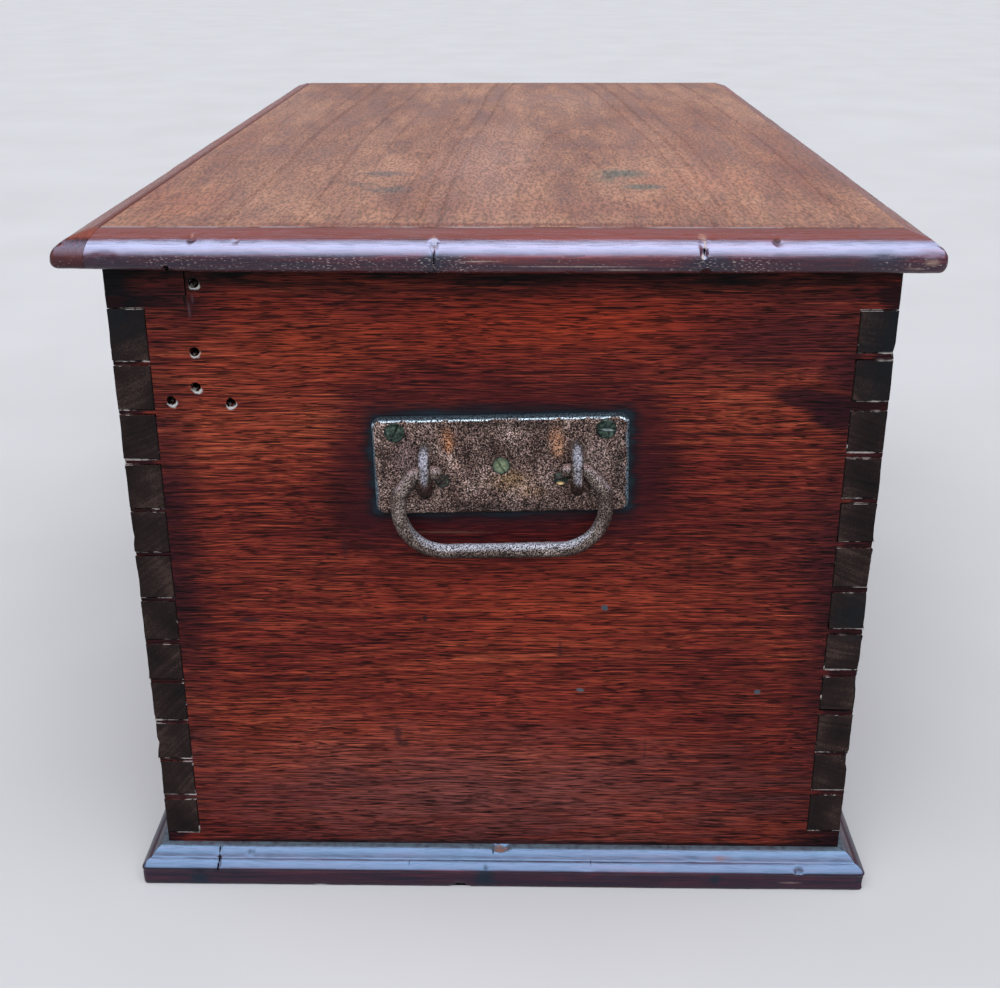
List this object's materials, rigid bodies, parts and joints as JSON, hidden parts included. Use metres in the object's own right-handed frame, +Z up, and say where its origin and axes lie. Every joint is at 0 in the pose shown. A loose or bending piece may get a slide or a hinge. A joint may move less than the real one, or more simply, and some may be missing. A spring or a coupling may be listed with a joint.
{
  "type": "sea chest",
  "caption": "Old dovetailed hardwood sea chest with a moulded hinged lid, a till, a lock and swinging iron handles on the ends.",
  "frame": {"origin": "middle of the footprint of the whole chest, on the floor", "axes": "+Z up, +X along the length towards the end with the corner patch, -Y towards the side with the keyhole"},
  "size_m": [0.847, 0.4946, 0.4423],
  "materials": {
    "case_wood": "worn, waxed, long grain",
    "patch_wood": "worn, waxed",
    "bottom_wood": "sawn and planed, unfinished",
    "skirting_wood": "dark red, waxed, worn edges",
    "till_wood": "planed, unfinished",
    "lid_wood": "worn, waxed, soft sheen",
    "lid_moulding_wood": "dark red, waxed, worn edges",
    "handle_plate_iron": "pitted, dull, dark brown rust",
    "handle_eye_iron": "worn bright in front, rusted below",
    "bail_iron": "pitted, rubbed smooth where it is held",
    "handle_screw_bronze": "dark green patina",
    "hinge_iron": "blackened, light rust",
    "lock_iron": "dull, light rust",
    "lock_brass": "dulled",
    "screw_iron": "dull, light rust",
    "nail_iron": "black"
  },
  "bodies": {
    "case": {"front_board": "case_wood", "back_board": "case_wood", "right_end_board": "case_wood", "left_end_board": "case_wood", "corner_patch": "patch_wood", "bottom_board_front": "bottom_wood", "bottom_board_middle": "bottom_wood", "bottom_board_back": "bottom_wood", "bottom_nails": "nail_iron", "skirting_front": "skirting_wood", "skirting_back": "skirting_wood", "skirting_right": "skirting_wood", "skirting_left": "skirting_wood", "skirting_nails": "nail_iron", "till_side": "till_wood", "till_bottom": "till_wood", "lock_case": "lock_iron", "lock_cover": "lock_iron", "lock_screws": "screw_iron", "keyhole_escutcheon": "lock_brass", "hinge_leaf_screws": "screw_iron", "left_hinge_leaf": "hinge_iron", "right_hinge_leaf": "hinge_iron", "left_hinge_pin": "hinge_iron", "right_hinge_pin": "hinge_iron", "right_handle_plate": "handle_plate_iron", "left_handle_plate": "handle_plate_iron", "right_handle_eyes": "handle_eye_iron", "left_handle_eyes": "handle_eye_iron", "right_handle_screws": "handle_screw_bronze", "left_handle_screws": "handle_screw_bronze"},
    "lid": {"lid_board": "lid_wood", "lid_moulding_front": "lid_moulding_wood", "lid_moulding_back": "lid_moulding_wood", "lid_moulding_right": "lid_moulding_wood", "lid_moulding_left": "lid_moulding_wood", "lid_moulding_nails": "nail_iron", "lock_catch": "lock_brass", "catch_screws": "screw_iron", "left_hinge_strap": "hinge_iron", "right_hinge_strap": "hinge_iron", "hinge_strap_screws": "screw_iron"},
    "right_bail": {"right_bail": "bail_iron"},
    "left_bail": {"left_bail": "bail_iron"},
    "lock_bolt": {"lock_bolt": "lock_iron"}
  },
  "joints": [
    {"name": "lid_open", "type": "hinge", "parent": "case", "child": "lid", "pos_m": [0, 0.23425, 0.42315], "axis": [-1, 0, 0], "range_deg": [0, 110]},
    {"name": "right_bail_swing", "type": "hinge", "parent": "case", "child": "right_bail", "pos_m": [0.412, 0.00225, 0.29955], "axis": [0, -0.9997, -0.0244], "range_deg": [0, 180]},
    {"name": "left_bail_swing", "type": "hinge", "parent": "case", "child": "left_bail", "pos_m": [-0.412, 0.00225, 0.29955], "axis": [0, 0.9997, -0.0244], "range_deg": [0, 180]},
    {"name": "lock_bolt_slide", "type": "slide", "parent": "case", "child": "lock_bolt", "axis": [1, 0, 0], "range_m": [0, 0.006]}
  ]
}
